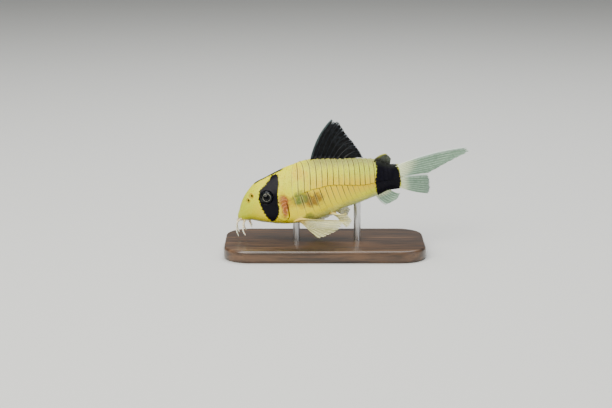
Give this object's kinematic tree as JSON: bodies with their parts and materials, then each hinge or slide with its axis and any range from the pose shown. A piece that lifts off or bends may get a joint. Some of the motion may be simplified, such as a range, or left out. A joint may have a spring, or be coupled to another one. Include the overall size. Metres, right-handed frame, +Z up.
{
  "type": "panda corydoras catfish model",
  "caption": "Life-size model of a small armoured catfish, a panda corydoras, nosing down over a plain display base on short rods.",
  "frame": {"origin": "centre of the display base's underside, on the surface that it stands on", "axes": "+X from the fish's snout towards its tail, along the base's length; +Y towards its right side; +Z up"},
  "size_m": [0.0562, 0.024, 0.0308],
  "materials": {
    "armour_skin": "wet, satin yellow-gold skin over bony plates, with blue-black mask over the eyes",
    "tail_skin": "the same skin, with a black band before the tail fin",
    "eye": "wet and black, with a thin pale ring",
    "barbel": "soft, pale and moist",
    "dark_fin": "thin black web on pale-edged rays",
    "clear_fin": "thin, milky, half-clear web on pale rays",
    "stand_base": "dark stained wood, satin lacquer",
    "stand_rod": "fine brushed steel"
  },
  "bodies": {
    "root": {"head": "armour_skin", "gill_cover_left": "armour_skin", "gill_cover_right": "armour_skin", "trunk": "armour_skin", "tail_stem": "tail_skin", "eye_left": "eye", "eye_right": "eye", "barbel_upper_left": "barbel", "barbel_upper_right": "barbel", "barbel_lower_left": "barbel", "barbel_lower_right": "barbel", "barbel_chin_left": "barbel", "barbel_chin_right": "barbel", "dorsal_fin": "dark_fin", "adipose_fin": "clear_fin", "anal_fin": "clear_fin", "caudal_fin_upper": "clear_fin", "caudal_fin_lower": "clear_fin", "pectoral_fin_left": "clear_fin", "pectoral_fin_right": "clear_fin", "pelvic_fin_left": "clear_fin", "pelvic_fin_right": "clear_fin", "stand_base": "stand_base", "stand_rod_front": "stand_rod", "stand_rod_rear": "stand_rod"}
  },
  "joints": []
}
